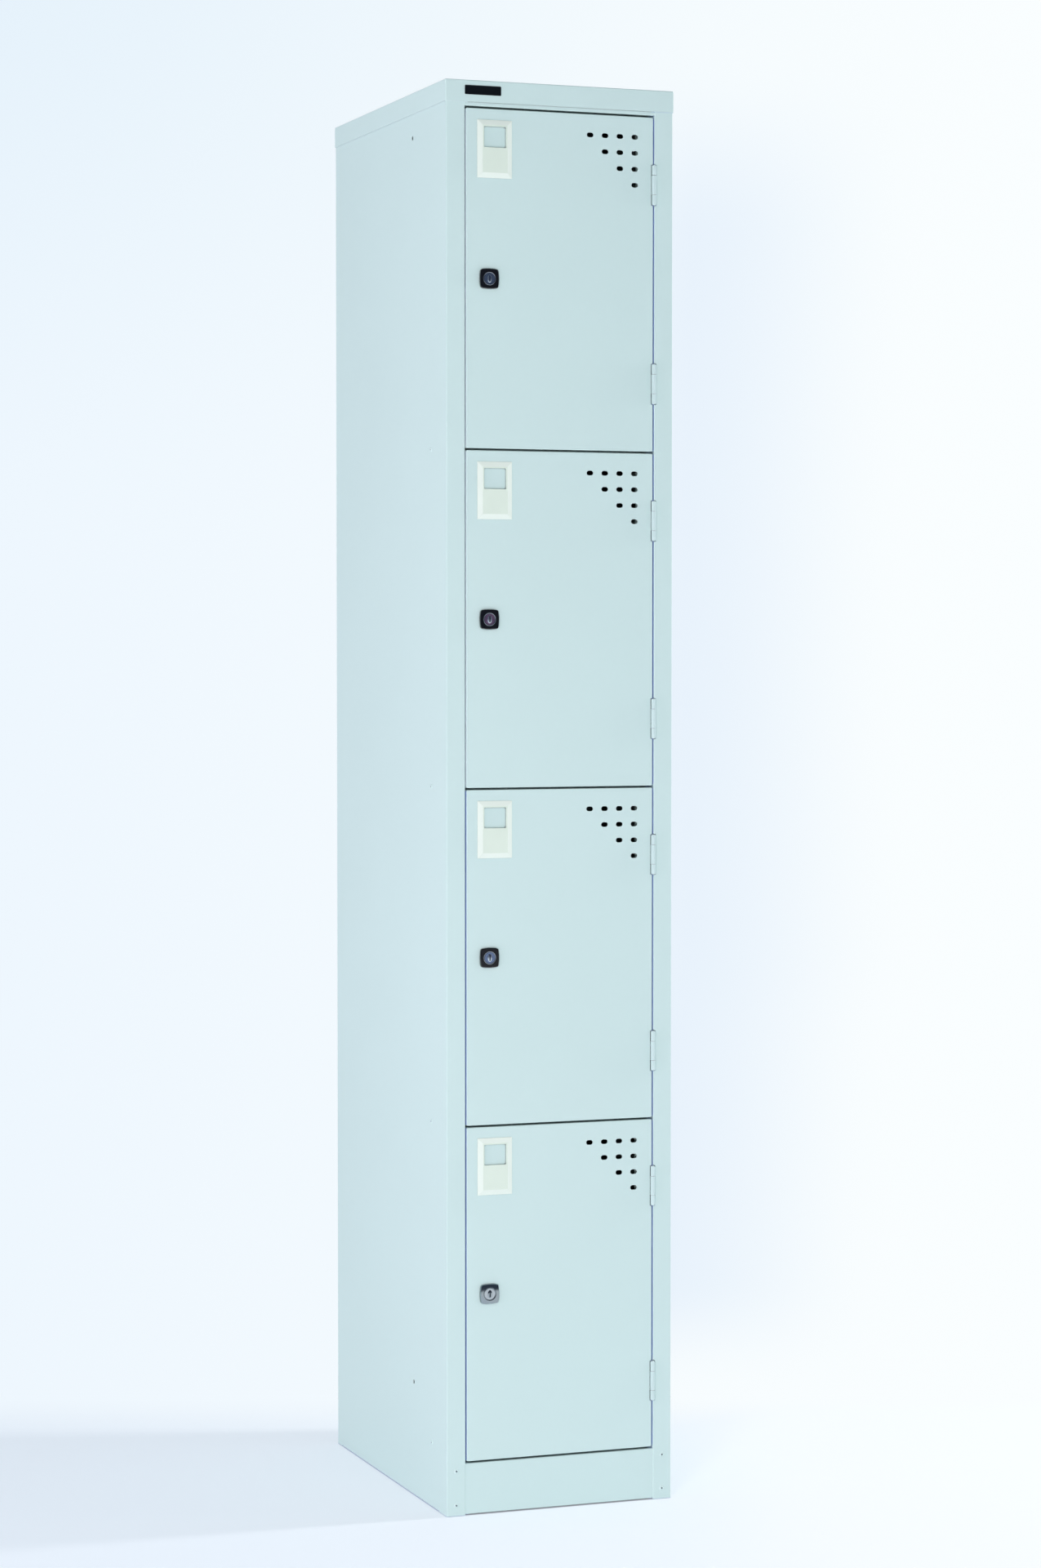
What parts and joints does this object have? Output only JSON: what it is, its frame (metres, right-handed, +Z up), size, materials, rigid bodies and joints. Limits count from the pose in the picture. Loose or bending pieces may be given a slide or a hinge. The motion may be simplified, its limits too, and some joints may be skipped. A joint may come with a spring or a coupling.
{
  "type": "four-tier locker",
  "caption": "Tall narrow steel locker with stacked doors on knuckle hinges, cam locks, vent slots and card holders, on a plinth.",
  "frame": {"origin": "middle of the whole box at floor level", "axes": "+X to the right seen from the front, +Y from the doors to the back, +Z up"},
  "size_m": [0.3072, 0.4623, 1.8],
  "materials": {
    "body_paint": "smooth powder coat, pale blue grey, slight sheen",
    "door_paint": "smooth powder coat, pale blue grey, slight sheen",
    "hinge_paint": "powder coated with the carcass",
    "rivet_paint": "blind rivets coated with the carcass, bare in the mandrel hole",
    "holder_plastic": "moulded cream plastic, satin",
    "lock_black": "gloss black coating",
    "lock_chrome": "bright nickel plate",
    "plug_metal": "dark nickel plate, bright at the keyway's edges",
    "zinc": "zinc plated steel"
  },
  "bodies": {
    "cabinet": {"left_side_panel": "body_paint", "right_side_panel": "body_paint", "back_panel": "body_paint", "top_cover": "body_paint", "top_rail": "body_paint", "plinth": "body_paint", "base_shelf": "body_paint", "shelf_1": "body_paint", "shelf_2": "body_paint", "shelf_3": "body_paint", "side_rivets": "rivet_paint", "plinth_rivets": "rivet_paint", "back_shelf_rivets": "rivet_paint", "back_edge_rivets": "rivet_paint", "hinge_frame_leaves_1": "hinge_paint", "hinge_frame_leaves_2": "hinge_paint", "hinge_frame_leaves_3": "hinge_paint", "hinge_frame_leaves_4": "hinge_paint", "hinge_pins_1": "hinge_paint", "hinge_pins_2": "hinge_paint", "hinge_pins_3": "hinge_paint", "hinge_pins_4": "hinge_paint"},
    "door_1": {"door_panel_1": "door_paint", "hinge_door_leaves_1": "hinge_paint", "card_holder_1": "holder_plastic", "lock_housing_1": "lock_black", "lock_nut_1": "zinc"},
    "lock_1": {"lock_plug_1": "plug_metal", "lock_cam_1": "zinc", "cam_screw_1": "zinc"},
    "door_2": {"door_panel_2": "door_paint", "hinge_door_leaves_2": "hinge_paint", "card_holder_2": "holder_plastic", "lock_housing_2": "lock_black", "lock_nut_2": "zinc"},
    "lock_2": {"lock_plug_2": "plug_metal", "lock_cam_2": "zinc", "cam_screw_2": "zinc"},
    "door_3": {"door_panel_3": "door_paint", "hinge_door_leaves_3": "hinge_paint", "card_holder_3": "holder_plastic", "lock_housing_3": "lock_black", "lock_nut_3": "zinc"},
    "lock_3": {"lock_plug_3": "plug_metal", "lock_cam_3": "zinc", "cam_screw_3": "zinc"},
    "door_4": {"door_panel_4": "door_paint", "hinge_door_leaves_4": "hinge_paint", "card_holder_4": "holder_plastic", "lock_housing_4": "lock_chrome", "lock_nut_4": "zinc"},
    "lock_4": {"lock_plug_4": "plug_metal", "lock_cam_4": "zinc", "cam_screw_4": "zinc"}
  },
  "joints": [
    {"name": "door_1_hinge", "type": "hinge", "parent": "cabinet", "child": "door_1", "pos_m": [0.1267, -0.22815, 1.5545], "axis": [0, 0, 1], "range_deg": [0, 170]},
    {"name": "lock_1_turn", "type": "hinge", "parent": "door_1", "child": "lock_1", "pos_m": [-0.0959, -0.22695, 1.5545], "axis": [0, 1, 0], "range_deg": [0, 90]},
    {"name": "door_2_hinge", "type": "hinge", "parent": "cabinet", "child": "door_2", "pos_m": [0.1267, -0.22815, 1.1295], "axis": [0, 0, 1], "range_deg": [0, 170]},
    {"name": "lock_2_turn", "type": "hinge", "parent": "door_2", "child": "lock_2", "pos_m": [-0.0959, -0.22695, 1.1295], "axis": [0, 1, 0], "range_deg": [0, 90]},
    {"name": "door_3_hinge", "type": "hinge", "parent": "cabinet", "child": "door_3", "pos_m": [0.1267, -0.22815, 0.7045], "axis": [0, 0, 1], "range_deg": [0, 170]},
    {"name": "lock_3_turn", "type": "hinge", "parent": "door_3", "child": "lock_3", "pos_m": [-0.0959, -0.22695, 0.7045], "axis": [0, 1, 0], "range_deg": [0, 90]},
    {"name": "door_4_hinge", "type": "hinge", "parent": "cabinet", "child": "door_4", "pos_m": [0.1267, -0.22815, 0.2795], "axis": [0, 0, 1], "range_deg": [0, 170]},
    {"name": "lock_4_turn", "type": "hinge", "parent": "door_4", "child": "lock_4", "pos_m": [-0.0959, -0.22695, 0.2795], "axis": [0, 1, 0], "range_deg": [0, 90]}
  ]
}
